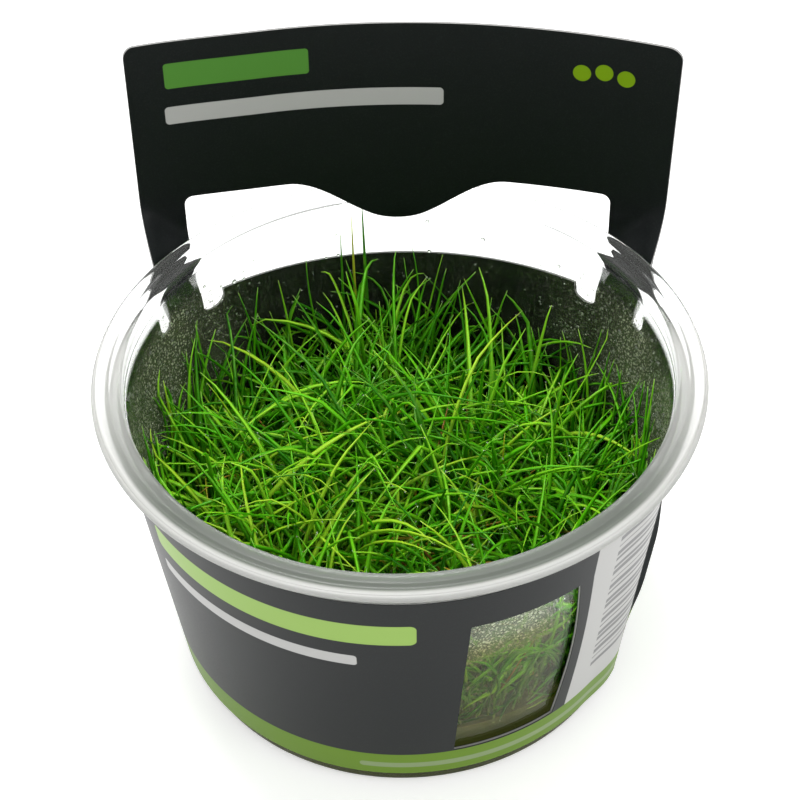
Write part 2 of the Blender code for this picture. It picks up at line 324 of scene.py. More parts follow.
class Flow:
    """One output of a material's nodes. Arithmetic on it adds Math nodes, node() adds others."""

    def __init__(self, tree, socket=None):
        self.tree = tree
        self.socket = socket

    def node(self, kind, settings=None, inputs=None, output=0):
        """Add a node: its settings first, a ramp's stops among them, then values or links."""
        made = self.tree.nodes.new(kind)
        for key, value in (settings or {}).items():
            if key == "stops":
                ramp = made.color_ramp.elements
                while len(ramp) < len(value):
                    ramp.new(1.0)
                for element, (position, colour) in zip(ramp, value):
                    element.position = position
                    element.color = (*colour, 1.0)
            else:
                setattr(made, key, value)
        for key, value in (inputs or {}).items():
            if isinstance(value, Flow):
                self.tree.links.new(value.socket, made.inputs[key])
            else:
                made.inputs[key].default_value = value
        return Flow(self.tree, made.outputs[output])

    def math(self, operation, *values):
        return self.node("ShaderNodeMath", {"operation": operation}, dict(enumerate(values)))

    def __add__(self, other):
        return self.math("ADD", self, other)

    def __sub__(self, other):
        return self.math("SUBTRACT", self, other)

    def __rsub__(self, other):
        return self.math("SUBTRACT", other, self)

    def __mul__(self, other):
        return self.math("MULTIPLY", self, other)

    __radd__ = __add__
    __rmul__ = __mul__

    def ramp(self, low, high):
        """0 below low, 1 above high and an even S between; the other way round if low > high."""
        limits = {"Value": self, "From Min": low, "From Max": high}
        return self.node("ShaderNodeMapRange", {"interpolation_type": "SMOOTHSTEP"}, limits)

    def colours(self, *stops):
        return self.node("ShaderNodeValToRGB", {"stops": stops}, {"Fac": self})

    def blend(self, first, second):
        """The first colour where this is 0 and the second where it is 1."""
        first, second = (c if isinstance(c, Flow) else (*c, 1.0) for c in (first, second))
        return self.node("ShaderNodeMix", {"data_type": "RGBA"}, {0: self, 6: first, 7: second}, 2)

    def attribute(self, name):
        return self.node("ShaderNodeAttribute", {"attribute_name": name}, output=2)

    def object_space(self):
        return self.node("ShaderNodeTexCoord", output=3)

    def noise(self, scale, detail=2.0, stretch=(1.0, 1.0, 1.0)):
        """Noise on Object coordinates: scale counts its grains along a metre."""
        spread = self.node("ShaderNodeMapping", None,
                           {"Vector": self.object_space(), "Scale": stretch})
        return self.node("ShaderNodeTexNoise", None,
                         {"Vector": spread, "Scale": scale, "Detail": detail})

    def cells(self, scale):
        """Distance to the nearest of points strewn through Object space, scale of them a metre."""
        return self.node("ShaderNodeTexVoronoi", None,
                         {"Vector": self.object_space(), "Scale": scale})

    def into(self, shader, name):
        self.tree.links.new(self.socket, shader.inputs[name])

    def bump(self, shader, strength, depth):
        heights = {"Strength": strength, "Distance": depth, "Height": self}
        self.node("ShaderNodeBump", None, heights).into(shader, "Normal")


def finish(shader, **values):
    """Set a shader's sockets to plain values, with _ for the spaces in their names."""
    for key, value in values.items():
        shader.inputs[key.replace("_", " ")].default_value = value
    return shader


def new_material(name, **values):
    """A Principled material with these plain values; returns it, its shader and a Flow."""
    material = bpy.data.materials.new(name)
    material.use_nodes = True
    shader = finish(material.node_tree.nodes["Principled BSDF"], **values)
    return material, shader, Flow(material.node_tree)


def clear_material(settings):
    """Thin clear moulded plastic: glossy rim, wet wall, and matte where the seal was peeled off.
    The matte ring's colour carries a painted highlight on the bead and painted shade on its flat in
    front.
    """
    material, shader, flow = new_material(
        "clear_moulded_plastic", IOR=settings.ior, Roughness=settings.roughness,
        Transmission_Weight=1.0, Specular_IOR_Level=0.35)
    nodes = material.node_tree.nodes
    wet = finish(nodes.new("ShaderNodeBsdfPrincipled"), IOR=settings.wet_ior,
                 Roughness=settings.roughness, Transmission_Weight=1.0)
    matte = finish(nodes.new("ShaderNodeBsdfPrincipled"), IOR=settings.ior, Roughness=0.5,
                   Transmission_Weight=0.35)
    smeared = flow.attribute("film").blend(settings.tint, settings.film)
    smeared.into(shader, "Base Color")
    smeared.into(wet, "Base Color")
    # Painted light: the pale seal colour is a painted highlight on the bead, and the flat colour is
    # painted shade on the rim's flat in front
    flow.attribute("pale").blend(settings.seal_front_shade, settings.seal).into(matte, "Base Color")
    flow.noise(90, 2.0, (1.0, 1.0, 3.0)).bump(shader, 0.25, 0.05 * MM)
    (flow.noise(260, 1.5, (1.0, 1.0, 0.6)) * flow.attribute("rivulets")).bump(wet, 0.8, 0.25 * MM)
    mixed = Flow(flow.tree, shader.outputs[0])
    for cover, over in ((flow.attribute("wet"), wet),
                        (flow.attribute("seal") * settings.seal_cover, matte)):
        mixed = cover.node("ShaderNodeMixShader", None,
                           {0: cover, 1: mixed, 2: Flow(flow.tree, over.outputs[0])})
    mixed.into(nodes["Material Output"], "Surface")
    return material


def gel_material():
    """Set nutrient gel, olive brown and wet, cloudy in places, with a faint painted glow for the
    light that passes through it.
    """
    # The emission is painted light: a glow in place of the light that shines through the gel
    material, shader, flow = new_material(
        "nutrient_gel", IOR=1.34, Roughness=0.12, Transmission_Weight=0.2,
        Subsurface_Weight=0.6, Subsurface_Scale=3 * MM,
        Emission_Color=(0.055, 0.070, 0.024, 1.0), Emission_Strength=0.6)
    cloud = flow.noise(160, 4.0)
    cloud.colours((0.3, (0.040, 0.050, 0.010)), (0.55, (0.075, 0.090, 0.020)),
                  (0.8, (0.135, 0.150, 0.045))).into(shader, "Base Color")
    flow.noise(500, 3.0).bump(shader, 0.4, 0.3 * MM)
    return material


def leaf_material(settings):
    """Leaf green by blade, paler at the sheath and at the very tip, with a painted highlight along
    one edge of each blade and painted shade over its lower part.
    """
    material, shader, flow = new_material(
        "hairgrass_leaf", Roughness=0.42, IOR=1.34, Subsurface_Weight=0.3,
        Subsurface_Scale=0.5 * MM, Subsurface_Radius=(0.6, 1.0, 0.1))
    along = flow.attribute("along")
    mottle = flow.noise(700, 2.0).ramp(0.35, 0.75)
    green = flow.attribute("tone").colours(
        (0.0, settings.deep), (0.4, settings.fresh), (0.74, settings.light), *WITHERING)
    # The first two covers are painted light: a highlight along one edge of each blade, and shade
    # over the lower part of each blade
    for cover, paint in ((flow.attribute("ridge") * 0.45 * mottle, (0.36, 0.70, 0.08)),
                         (along.ramp(0.75, 0.15) * 0.7, 0.55 * settings.deep),
                         (along.ramp(0.12, 0.0) * 0.6, (0.34, 0.42, 0.14)),
                         (along.ramp(0.95, 1.0) * 0.4, (0.50, 0.70, 0.22))):
        green = cover.blend(green, paint)
    green.into(shader, "Base Color")
    return material


def water_material(name, clearness):
    """Water in small drops, the finest of them not quite clear."""
    return new_material(name, Base_Color=(0.95, 1.0, 0.92, 1.0), IOR=1.33, Roughness=0.05,
                        Transmission_Weight=clearness)[0]


def fog_material(settings):
    """A veil of fine condensation: pale grains whose cover follows the fog value."""
    material, shader, flow = new_material("condensation", Roughness=0.45)
    cloud = flow.noise(160, 3.0, (1.0, 1.0, 0.5)).ramp(0.2, 0.8)
    fine = flow.cells(2500).ramp(0.40, 0.22)
    coarse = flow.cells(1200).ramp(0.30, 0.18)
    grains = flow.math("MINIMUM", fine + coarse, 1.0)
    grains.blend((0.26, 0.29, 0.17), (0.64, 0.68, 0.50)).into(shader, "Base Color")
    cover = 0.38 + 0.50 * fine + 0.60 * coarse
    (flow.attribute("fog") * settings.fog * (0.35 + 0.65 * cloud) * cover).into(shader, "Alpha")
    return material


def rounded(s, h, low, high, radius):
    """1 inside a round-cornered box and 0 outside it.

    The distance is the length of the parts above 0 of |p - middle| - half + radius.
    """
    squares = []
    for spot, start, end in ((s, low[0], high[0]), (h, low[1], high[1])):
        middle, half = (start + end) / 2, (end - start) / 2
        past = s.math("MAXIMUM", s.math("ABSOLUTE", spot - middle) - (half - radius), 0.0)
        squares.append(past * past)
    distance = s.math("SQRT", squares[0] + squares[1])
    return distance.ramp(radius + PRINT_BLUR, radius - PRINT_BLUR)


def card_material(settings):
    """Satin print on white card, laid out in flat millimetres: s along the wrap, h up."""
    material, shader, flow = new_material("printed_card", IOR=1.5, Specular_IOR_Level=0.135)
    s, h, face = (flow.attribute(name) for name in ("card_s", "card_h", "card_face"))
    green, light, white, sign = settings.green, settings.light_green, settings.white, settings.sign
    (white_start, block_start, block_end, bar_start, line_start, bar_end, strip_start,
     strip_end) = (flat(angle) / MM for angle in (
         -221.6, -253, -228.8, -183.6, -171.6, -121.6, -250.0, -170.0))
    block = (block_start, 11.9), (block_end, 42.5), 0.1
    on_wrap = (
        ((bar_start, 34.5), (bar_end, 38.8), 0.9, light),
        ((line_start, 29.3), (bar_end, 31.5), 0.5, white),
        ((strip_start, 3.3), (strip_end, 4.5), 0.6, 0.7 * green + 0.3 * white),
    )
    on_header = (
        ((-33.8, 72.5), (-12.9, 76.6), 0.5, settings.tag),
        ((-34.2, 66.6), (6.4, 69.5), 0.6, white),
        ((25.0, 72.5), (27.6, 75.1), 1.3, sign),
        ((28.2, 73.0), (30.8, 75.6), 1.3, sign),
        ((31.4, 72.5), (34.0, 75.1), 1.3, sign),
    )
    grain = flow.noise(4200, 2.0)
    dark = (grain.ramp(0.45, 0.75) * 0.5).blend(settings.ink, 2.1 * settings.ink)
    colour = s.ramp(white_start + WHITE_BLUR, white_start - WHITE_BLUR).blend(dark, white)
    wave = math.tau / settings.stripe_pitch
    waves = h.math("SINE", h * wave) + 0.8 * h.math("SINE", h * (0.41 * wave))
    colour = (rounded(s, h, *block) * waves.ramp(-0.15, 0.25)).blend(colour, settings.grey)
    colour = h.ramp(GREEN_TOP + PRINT_BLUR, GREEN_TOP - PRINT_BLUR).blend(colour, green)
    back = dark
    for *box, paint in on_wrap:
        colour = rounded(s, h, *box).blend(colour, paint)
    for *box, paint in on_header:
        back = rounded(s, h, *box).blend(back, paint)
    colour = face.ramp(-0.9, -0.99).blend(colour, back)
    cut_edge = face.math("ABSOLUTE", face).ramp(0.75, 0.45)
    cut_edge.blend(colour, 0.8 * white).into(shader, "Base Color")
    (settings.gloss + 0.12 * grain + 0.6 * s.ramp(*FLAP)).into(shader, "Roughness")
    grain.bump(shader, 0.15, 0.02 * MM)
    return material


# Cup and gel

def rolled_bead(centre_r, centre_z, radius):
    """The bead over the rim's edge, an arc with two grooves: dips of e to the minus squared."""
    angles = np.linspace(112, 0, 25)
    dips = 0.06 * MM * sum(np.exp(-((angles - groove) / 7) ** 2) for groove in (66, 24))
    turn = np.radians(angles)
    return np.column_stack([centre_r + (radius - dips) * np.cos(turn),
                            centre_z + (radius - dips) * np.sin(turn)])


def cup_profile():
    """The wall in section: up the inside, over the mouth and rolled rim, down the outside."""
    inner_corner = cup_inside(FLOOR + FILLET) - FILLET
    outer_corner = cup_outside(FOOT_ROUND) - FOOT_ROUND
    low, high, outer_low, outer_high = 4 * MM, LEDGE - 0.3 * MM, 3 * MM, 47.8 * MM
    return np.concatenate([
        straight((0.0, FLOOR), (inner_corner - 1 * MM, FLOOR), 8),
        arc(inner_corner, FLOOR + FILLET, FILLET, -90, 0, 8),
        straight((cup_inside(low), low), (cup_inside(high), high), 14),
        [(cup_inside(LEDGE) + 0.02 * MM, LEDGE), (MOUTH_R - 0.25 * MM, MOUTH_FOOT - 0.22 * MM),
         (MOUTH_R, MOUTH_FOOT)],
        arc(MOUTH_R + LIP, CUP_HEIGHT - LIP, LIP, 180, 90, 6),
        np.array(FLANGE_TOP) * MM + (0.0, CUP_HEIGHT),
        rolled_bead(RIM_R - BEAD, CUP_HEIGHT - BEAD, BEAD),
        np.array(UNDER_BEAD) * MM + (RIM_R, FLANGE_UNDERSIDE),
        np.array(UNDER_FLANGE) * MM + (0.0, FLANGE_UNDERSIDE),
        straight((cup_outside(outer_high) + 0.05 * MM, outer_high),
                 (cup_outside(outer_low), outer_low), 14),
        arc(outer_corner, FOOT_ROUND, FOOT_ROUND, 0, -90, 7),
        straight((outer_corner - 1 * MM, 0.0), (0.0, 0.0), 7),
    ])


def gel_profile():
    """The gel in section: flat top with its edge drawn up the wall, then down and under."""
    base = FLOOR + GAP
    edge = cup_inside(GEL_TOP) - GAP
    t = np.linspace(0, 1, 8)
    return np.concatenate([
        straight((0.0, GEL_TOP), (edge - 5 * MM, GEL_TOP), 16),
        np.column_stack([edge - 4 * MM * (1 - t), GEL_TOP + GEL_CREEP * t ** 3]),
        arc(cup_inside(base + FILLET) - GAP - FILLET, base + FILLET, FILLET, 0, -90, 6),
        straight((edge - 6 * MM, base), (0.0, base), 3),
    ])


def ripple(points):
    """Points near the top moved up or down by three crossing sine waves, calm at the edge."""
    x, y, z = points.T / MM
    wave = np.sin(0.9 * x + 0.4 * y) + np.sin(0.5 * x - 1.1 * y + 1.0) + np.sin(1.7 * x + 1.3 * y)
    near_top = smooth(z, GEL_TOP / MM - 0.05, GEL_TOP / MM)
    points[:, 2] += GEL_RIPPLE * wave * near_top * (1 - smooth(np.hypot(x, y), *GEL_CALM))
    return points


# Card

def card_point(s, h):
    """Where the flat card's points (s along the wrap, h up) stand once it is wrapped.

    Low down the card lies on the cone of the cup's wall, at angle s / REF_R. From LEG_BEND up
    it goes over, by an even S, to a shallow arc of radius PANEL_R across the back, and its legs
    are pushed out to clear the rim.
    """
    across = np.abs(s)
    angle = s / REF_R
    radius = (cup_outside(h) + GAP + CARD / 2 + SEAM_LIFT * (1 - smooth(s, *SEAM_RAMP))
              + BULGE * hump(s, BULGE_RISE, BULGE_FALL) * hump(h, BULGE_FOOT, BULGE_HEAD))
    turn = s / PANEL_R
    panel_y = PANEL_Y + PANEL_LEAN * (h - RIM_LEVEL) - PANEL_R * (1 - np.cos(turn))
    panel_y = panel_y + np.where(s < 0, *PANEL_EASE) * smooth(across, *PANEL_END)
    share = smooth(h, LEG_BEND, mix(PANEL_START, smooth(across, LEG_INNER, LEG_OUTER)))
    share = np.where(across > (LEG_OUTER + RELIEF_OUTER) / 2, 0.0, share)
    x = mix((radius * np.sin(angle), PANEL_R * np.sin(turn)), share)
    y = mix((radius * np.cos(angle), panel_y), share)
    reach = np.hypot(x, y)
    beside_rim = hump(h, (LEG_BEND, FLANGE_UNDERSIDE), RIM_PASSED)
    is_leg = (across > LEG_SHARE * LEG_INNER) & (share > 0) & (reach < RIM_CLEAR_R)
    push = np.where(is_leg, 1 + (RIM_CLEAR_R / reach - 1) * beside_rim, 1.0)
    return np.stack([x * push, y * push, h], axis=-1)


def cut_out_slant(s, h):
    """How far the card round the cut-out is drawn aside, as the photograph shows it.

    At share t of the cut-out's height its left edge is shifted evenly from foot to top, and its
    right edge bows by sin(pi t) as well. The shift fades out beside the cut-out.
    """
    right, left = CUT_OUT
    t = np.clip((h - CUT_OUT_FOOT) / (CUT_OUT_TOP - CUT_OUT_FOOT), 0, 1)
    at_right = mix(CUT_OUT_RIGHT, t) + CUT_OUT_BOW * np.sin(math.pi * t)
    share = np.clip((s - right) / (left - right), 0, 1)
    near = hump(s, (right - CUT_OUT_FADE, right), (left, left + CUT_OUT_FADE))
    return near * mix((at_right, mix(CUT_OUT_LEFT, t)), share)


def card_columns():
    """Places along the card: even steps, closer at the corners, a pair at each step in an edge."""
    tiny = 0.02 * MM
    rounds = np.sin(np.radians(np.linspace(0, 90, 8)))
    reliefs = np.array([RELIEF_INNER, RELIEF_OUTER]) + tiny
    sides = np.concatenate([
        LEG_OUTER - HEADER_CORNER * (1 - rounds), LEG_INNER - WINDOW_CORNER * (1 - rounds),
        np.linspace(RELIEF_INNER, LEG_INNER, 9), np.linspace(LEG_OUTER, RELIEF_OUTER, 7), reliefs])
    even = np.arange(NEAR_END, FAR_END, CARD_STEP)
    columns = np.unique(np.concatenate([even, sides, -sides, [NEAR_END, FAR_END, *CUT_OUT]]))
    return columns[np.append(True, np.diff(columns) > tiny / 4)]


def corner_drop(across, edge, radius):
    """How far a round corner at an edge takes the line down from its level."""
    past = np.clip(across - (edge - radius), 0, radius)
    return radius - np.sqrt(radius ** 2 - past ** 2)


def card_rows(s):
    """Heights of the card's six cut or crossing lines over each column, and how far each shifts.

    From below: foot, sill and top of the cut-out, top of the wrap with the round feet of its
    relief notches, top of the header's window with its round corners and its cosine bump, and
    top of the header with its round corners.
    """
    across = np.abs(s)
    outward = np.clip((across - LEG_INNER) / (LEG_OUTER - LEG_INNER), 0, 1)
    back_edge = mix(BACK_TOP, (across / RELIEF_INNER) ** 2)
    leg_foot = mix(RELIEF_FEET, outward)
    for start, end in ((RELIEF_INNER, LEG_INNER), (LEG_OUTER, RELIEF_OUTER)):
        from_middle = np.minimum(np.abs(across - (start + end) / 2) / ((end - start) / 2), 1)
        rise = NOTCH_ROUND * (1 - np.sqrt(1 - from_middle ** 2))
        leg_foot = leg_foot + rise * (from_middle < 1)
    wrap_top = np.where(across <= RELIEF_INNER, back_edge,
                        np.where(across <= RELIEF_OUTER, leg_foot, WRAP_TOP))
    bump = 0.5 * (1 + np.cos(math.pi * np.minimum(across / BUMP_HALF, 1)))
    window = (WINDOW_TOP - corner_drop(across, LEG_INNER, WINDOW_CORNER)
              - (WINDOW_TOP - BUMP_FOOT) * bump)
    head = HEADER_TOP - corner_drop(across, LEG_OUTER, HEADER_CORNER)
    rows = np.stack(np.broadcast_arrays(CARD_FOOT, CUT_OUT_FOOT, CUT_OUT_TOP, wrap_top, window,
                                        head))
    foot = RELIEF_FEET[1]
    drift = HEADER_OFFSET + HEADER_FLARE * np.sign(s)
    drift = drift * np.clip((rows - foot) / (HEADER_TOP - HEADER_CORNER - foot), 0, 1)
    shift = mix((WINDOW_OFFSET, drift), outward)
    shift[:3] = 0
    shift[:, across > LEG_OUTER + 0.01 * MM] = 0
    return rows, shift


def card_cells(columns):
    """Which cells between the columns and rows are card: all but the holes and the free air."""
    middle = (columns[1:] + columns[:-1]) / 2
    across = np.abs(middle)
    everywhere = np.ones(len(middle), bool)
    beside_cut = (middle < CUT_OUT[0]) | (middle > CUT_OUT[1])
    header = across < LEG_OUTER
    legs = header & (across > LEG_INNER)
    by_band = [everywhere, beside_cut, everywhere, legs, header]
    return np.repeat(np.array(by_band), CARD_BANDS, axis=0)


def card_faces(cells, width, count):
    """Quads of the outer and inner face, and a wall wherever a cell has no neighbour."""
    row, column = np.nonzero(cells)
    low = row * width + column
    corners = np.stack([low, low + 1, low + width + 1, low + width])
    padded = np.pad(cells, 1)
    faces = [corners[::-1].T, (corners + count).T]
    sides = (((-1, 0), 1, 0), ((0, 1), 2, 1), ((1, 0), 3, 2), ((0, -1), 0, 3))
    for (up, right), start, end in sides:
        bare = ~padded[row + 1 + up, column + 1 + right]
        a, b = corners[start][bare], corners[end][bare]
        faces.append(np.stack([a, b, b + count, a + count], axis=1))
    return np.concatenate(faces)


def make_sleeve_arrays():
    """The card as a shell: flat grid, wrapped, with half its thickness to each side."""
    columns = card_columns()
    rows, shifts = card_rows(columns)
    share = np.concatenate([k + np.arange(n) / n for k, n in enumerate(CARD_BANDS)]
                           + [[len(CARD_BANDS)]])
    lower = np.minimum(share.astype(int), len(CARD_BANDS) - 1)
    part = (share - lower)[:, None]
    h = mix((rows[lower], rows[lower + 1]), part)
    s = columns + mix((shifts[lower], shifts[lower + 1]), part)
    flat_s, flat_h = (np.tile(k.ravel() / MM, 2) for k in (s, h - PRINT_DATUM))
    s = s + cut_out_slant(s, h)
    tiny = 0.01 * MM
    along = card_point(s + tiny, h) - card_point(s - tiny, h)
    upward = card_point(s, h + tiny) - card_point(s, h - tiny)
    inward = unit(np.cross(along, upward)) * CARD / 2
    middle = card_point(s, h)
    points = np.concatenate([(middle - inward).reshape(-1, 3), (middle + inward).reshape(-1, 3)])
    faces = card_faces(card_cells(columns), len(columns), s.size)
    used, packed = np.unique(faces, return_inverse=True)
    side = np.repeat([1.0, -1.0], s.size)
    return points[used], [packed.reshape(-1, 4)], flat_s[used], flat_h[used], side[used]


# Grass

def sunflower(count, radius, draw, scatter):
    """Places on a disc, the nth at radius * sqrt(n / count), a golden angle on, then scattered."""
    n = np.arange(count) + 0.5
    reach = radius * np.sqrt(n / count)
    places = np.column_stack([reach * np.cos(n * GOLDEN_ANGLE), reach * np.sin(n * GOLDEN_ANGLE)])
    return places + draw.normal(0, scatter, (count, 2))


def bent_some(draw, count, share, low, high):
    """A kink between low and high for that share of the blades, and none for the others."""
    return np.where(draw.random(count) < share, draw.uniform(low, high, count), 0.0)


def centre_lines(roots, heading, tilt, bend, sway, length, steps, kink=0.0):
    """Lines that leave their roots at an angle tilt from the vertical and bend over.

    At share t of the length the angle is tilt + bend * t ** 1.35, with kink added past six
    tenths, and the heading has turned by sway * t. The steps are summed along each line.
    """
    t = (np.arange(steps) + 0.5) / steps
    lean = tilt[:, None] + bend[:, None] * t ** 1.35 + np.atleast_1d(kink)[:, None] * (t > 0.6)
    turn = heading[:, None] + sway[:, None] * t
    step = np.stack([np.sin(lean) * np.cos(turn), np.sin(lean) * np.sin(turn), np.cos(lean)], -1)
    path = np.cumsum(step * (length / steps)[:, None, None], axis=1)
    return np.concatenate([roots[:, None], roots[:, None] + path], axis=1)


def held_in_cup(lines, clearance):
    """The lines with every point past the wall brought back to it, and none below the gel."""
    lines = lines.copy()
    lines[..., 2] = np.clip(lines[..., 2], GEL_TOP - 0.4 * MM, LEDGE + 1.5 * MM)
    reach = np.maximum(np.hypot(lines[..., 0], lines[..., 1]), 1e-9)
    back = np.minimum(1.0, (cup_inside(np.minimum(lines[..., 2], LEDGE)) - clearance) / reach)
    lines[..., :2] *= back[..., None]
    return lines


def skin(lines, heading, roll, width):
    """Closed tubes round the lines: a ring of corners at each point, and a cap at each end.

    The half width at share t is (0.8 + 0.3 sin(pi t)) * (1 - 0.8 t ** 4) of the blade's own,
    and the blade is flatter across its bend.
    """
    count, length = lines.shape[:2]
    t = np.linspace(0, 1, length)
    tangent = unit(np.gradient(lines, axis=1))
    level = np.stack([-np.sin(heading), np.cos(heading), np.zeros(count)], -1)[:, None]
    normal = unit(np.cross(tangent, np.broadcast_to(level, tangent.shape)))
    across = np.cross(normal, tangent)
    half = width[:, None] / 2 * (0.8 + 0.3 * np.sin(math.pi * t)) * (1 - 0.8 * t ** 4)
    corner = np.arange(BLADE_SIDES)
    angle = (roll[:, None] + corner * (math.tau / BLADE_SIDES))[:, None, :, None]
    out = (np.cos(angle) * across[:, :, None]
           + BLADE_FLATNESS * np.sin(angle) * normal[:, :, None])
    points = lines[:, :, None] + half[:, :, None, None] * out
    tube = ring_quads(length - 1, BLADE_SIDES)[:, [0, 3, 2, 1]]
    first, last = corner[::-1][None], (length - 1) * BLADE_SIDES + corner[None]
    offset = (np.arange(count) * length * BLADE_SIDES)[:, None, None]
    faces = [(block + offset).reshape(-1, block.shape[1]) for block in (tube, first, last)]
    along = np.broadcast_to(t[None, :, None], points.shape[:3])
    # The first corner of each ring carries the painted highlight along the blade
    ridge = np.broadcast_to((corner == 0).astype(float), points.shape[:3])
    return points.reshape(-1, 3), faces, along.ravel(), ridge.ravel()


def balls(centres, sizes, normals, flatness):
    """A twenty-faced ball at each centre, pressed along its normal by the factor flatness."""
    golden = (1 + math.sqrt(5)) / 2
    corner = np.array([(-1, golden, 0), (1, golden, 0), (-1, -golden, 0), (1, -golden, 0),
                       (0, -1, golden), (0, 1, golden), (0, -1, -golden), (0, 1, -golden),
                       (golden, 0, -1), (golden, 0, 1), (-golden, 0, -1), (-golden, 0, 1)])
    corner = unit(corner)
    face = np.array([(0, 11, 5), (0, 5, 1), (0, 1, 7), (0, 7, 10), (0, 10, 11),
                     (1, 5, 9), (5, 11, 4), (11, 10, 2), (10, 7, 6), (7, 1, 8),
                     (3, 9, 4), (3, 4, 2), (3, 2, 6), (3, 6, 8), (3, 8, 9),
                     (4, 9, 5), (2, 4, 11), (6, 2, 10), (8, 6, 7), (9, 8, 1)])
    helper = np.where(np.abs(normals[:, 2:]) > 0.9, [[1.0, 0, 0]], [[0, 0, 1.0]])
    side = unit(np.cross(helper, normals))
    up = np.cross(normals, side)
    shape = (corner[None, :, 0:1] * side[:, None] + corner[None, :, 1:2] * up[:, None]
             + flatness * corner[None, :, 2:3] * normals[:, None])
    points = centres[:, None] + sizes[:, None, None] * shape
    faces = (face[None] + (np.arange(len(centres)) * len(corner))[:, None, None]).reshape(-1, 3)
    return points.reshape(-1, 3), [faces]


def near_spot(roots, x, y, width):
    """e to the minus squared distance from a spot over its squared width, in millimetres."""
    return np.exp(-((roots[:, 0] / MM - x) ** 2 + (roots[:, 1] / MM - y) ** 2) / width ** 2)


def vigour(roots):
    """How long blades grow by place: less towards the wall and in a hollow, more in clumps."""
    growth = 1 - WALL_LOSS * (np.hypot(roots[:, 0], roots[:, 1]) / TURF_R) ** 2
    for x, y, width, share in CLUMPS:
        growth = growth * (1 + share * near_spot(roots, x, y, width))
    return growth


def tall_blades(settings):
    """Blades that rise from crowns in tufts and arch over in every direction."""
    draw = np.random.default_rng(settings.seed)
    crowns = sunflower(settings.crowns, 32 * MM, draw, 0.9 * MM)
    owner = np.repeat(np.arange(settings.crowns), settings.blades)
    count = len(owner)
    roots = np.column_stack([crowns[owner] + draw.normal(0, 0.45 * MM, (count, 2)),
                             np.full(count, GEL_TOP - 0.3 * MM)])
    heading = draw.uniform(0, math.tau, count)
    tilt = np.abs(draw.normal(0, 0.45, count))
    bend = draw.gamma(3.2, 0.42, count)
    sway = draw.normal(0, 0.8, count)
    length = settings.length * vigour(roots) * draw.normal(1, 0.18, count).clip(0.55, 1.35)
    kink = bent_some(draw, count, 0.02, 0.5, 1.2)
    arching = draw.random(count) < ARCHING
    bend = np.where(arching, draw.uniform(1.5, 2.1, count), bend)
    sway = np.where(arching, 0.5 * sway, sway)
    length = np.where(arching, 1.15 * length, length)
    lines = centre_lines(roots, heading, tilt, bend, sway, length, 11, kink)
    lines[..., 2] -= PRESSED_DOWN * np.maximum(lines[..., 2] - TURF_TOP, 0)
    lines = held_in_cup(lines, 0.45 * MM)
    width = settings.width * draw.normal(1, 0.22, count).clip(0.5, 1.4)
    crown_tone = draw.uniform(0.15, 0.68, settings.crowns)[owner]
    tone = crown_tone + 0.36 * near_spot(roots, *LIT_SIDE) + draw.normal(-0.07, 0.17, count)
    return lines, heading, width, (tone + 0.12 * arching).clip(0.0, 0.76), draw


def strewn_blades(draw, places, top, width, tilt, bend, length, sway, steps, thick, tone,
                  clear, kinked=0.0):
    """Single blades rooted anywhere from the gel up to top, each value drawn from its range."""
    count = len(places)
    roots = np.column_stack([places, draw.uniform(GEL_TOP, top, count)])
    heading = draw.uniform(0, math.tau, count)
    tilt, bend, length = (draw.uniform(*limits, count) for limits in (tilt, bend, length))
    kink = bent_some(draw, count, kinked, -1.0, 1.0) if kinked else 0.0
    sway = draw.normal(0, sway, count)
    lines = centre_lines(roots, heading, tilt, bend, sway, length * MM, steps, kink)
    width = width * draw.uniform(*thick, count)
    return held_in_cup(lines, clear * MM), heading, width, draw.uniform(*tone, count), draw


def short_blades(settings):
    """Young and fallen blades that fill the turf between the tall ones."""
    draw = np.random.default_rng(settings.seed + 1)
    places = sunflower(settings.fillers, TURF_R, draw, 1.2 * MM)
    return strewn_blades(
        draw, places, 15.5 * MM, settings.width, tilt=(0.2, 1.3), bend=(0.1, 0.9),
        length=(8, 15), sway=0.5, steps=5, thick=(0.4, 0.75), tone=(0.0, 0.45), clear=0.5)


def wall_blades(settings):
    """Blades pressed flat on the cup's wall, and three long ones that climb the back of it.

    A blade leans along the wall by tilt + bend * t at share t of its length. Its steps are
    length * sin(lean) round the wall and length * cos(lean) up it, summed.
    """
    draw = np.random.default_rng(settings.seed + 2)
    count, steps = settings.wall_blades, 10
    bearing = draw.uniform(0, math.tau, count)
    tilt = draw.normal(0, 0.5, count)
    bend = draw.normal(0, 0.7, count)
    length = draw.uniform(14, 29, count) * MM
    bearings, lengths, tilts, tones = LONG_BLADES.T
    bearing[:3], tilt[:3], bend[:3], length[:3] = np.radians(bearings), tilts, 0.0, lengths * MM
    t = np.arange(steps + 1) / steps
    lean = tilt[:, None] + bend[:, None] * t
    step = (length / steps)[:, None]
    rise = GEL_TOP + np.cumsum(np.cos(lean) * step, axis=1)
    turned = bearing[:, None] - np.cumsum(np.sin(lean) * step, axis=1) / WALL_R
    reach = cup_inside(rise) - 0.4 * MM - draw.uniform(0, 1.2 * MM, count)[:, None]
    lines = np.stack([reach * np.cos(turned), reach * np.sin(turned), rise], -1)
    width = settings.width * draw.uniform(0.7, 1.15, count)
    tone = draw.uniform(0.0, 0.6, count)
    width[:3], tone[:3] = settings.width * 1.15, tones
    return held_in_cup(lines, 0.38 * MM), bearing + math.pi / 2, width, tone, draw


